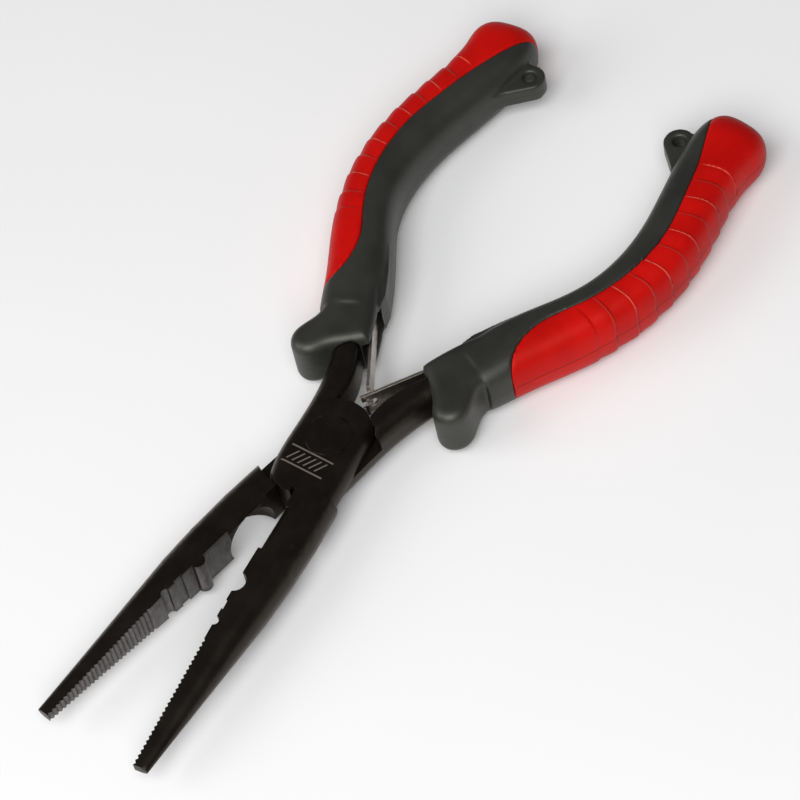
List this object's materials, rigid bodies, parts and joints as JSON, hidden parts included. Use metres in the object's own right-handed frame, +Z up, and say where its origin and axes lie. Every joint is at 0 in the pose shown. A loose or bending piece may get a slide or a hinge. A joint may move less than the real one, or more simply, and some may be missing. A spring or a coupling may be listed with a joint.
{
  "type": "fishing pliers",
  "caption": "Long-nose fishing pliers with toothed jaws, crimp notches, a cutter, interlocking leaf springs and two-shot grips with guards and lanyard lugs.",
  "frame": {"origin": "on the pivot axis, in the flat underside of the joint", "axes": "+Z up along the pivot axis, +X along the nose, +Y across the jaws"},
  "size_m": [0.2054, 0.0854, 0.0162],
  "materials": {
    "black_steel": "black oxide on forged steel",
    "spring_steel": "bare rolled spring steel",
    "dark_grip": "satin moulded, dark grey-green",
    "red_grip": "satin soft moulded red"
  },
  "bodies": {
    "lower_half": {"lower_lever": "black_steel", "pivot_rivet": "black_steel", "lower_spring_rivet": "spring_steel", "lower_grip_core": "dark_grip", "lower_grip_cover": "red_grip"},
    "upper_half": {"upper_lever": "black_steel", "upper_spring_rivet": "spring_steel", "upper_grip_core": "dark_grip", "upper_grip_cover": "red_grip"},
    "lower_leaf": {"lower_leaf_spring": "spring_steel"},
    "upper_leaf": {"upper_leaf_spring": "spring_steel"}
  },
  "joints": [
    {"name": "pivot_hinge", "type": "hinge", "parent": "lower_half", "child": "upper_half", "pos_m": [0, 0, 0.005], "axis": [0, 0, 1], "range_deg": [-15.1, 8], "stiffness_Nm_per_rad": 0.6},
    {"name": "lower_leaf_flex", "type": "hinge", "parent": "lower_half", "child": "lower_leaf", "pos_m": [-0.04201, 0.01781, 0.005], "axis": [0, 0, 1], "range_deg": [-2.2, 3.8]},
    {"name": "upper_leaf_flex", "type": "hinge", "parent": "upper_half", "child": "upper_leaf", "pos_m": [-0.04201, -0.01781, 0.005], "axis": [0, 0, 1], "range_deg": [-3.8, 2.2]}
  ],
  "couplings": [
    {"joint": "lower_leaf_flex", "follows": "pivot_hinge", "ratio": -0.22},
    {"joint": "upper_leaf_flex", "follows": "pivot_hinge", "ratio": 0.22}
  ]
}
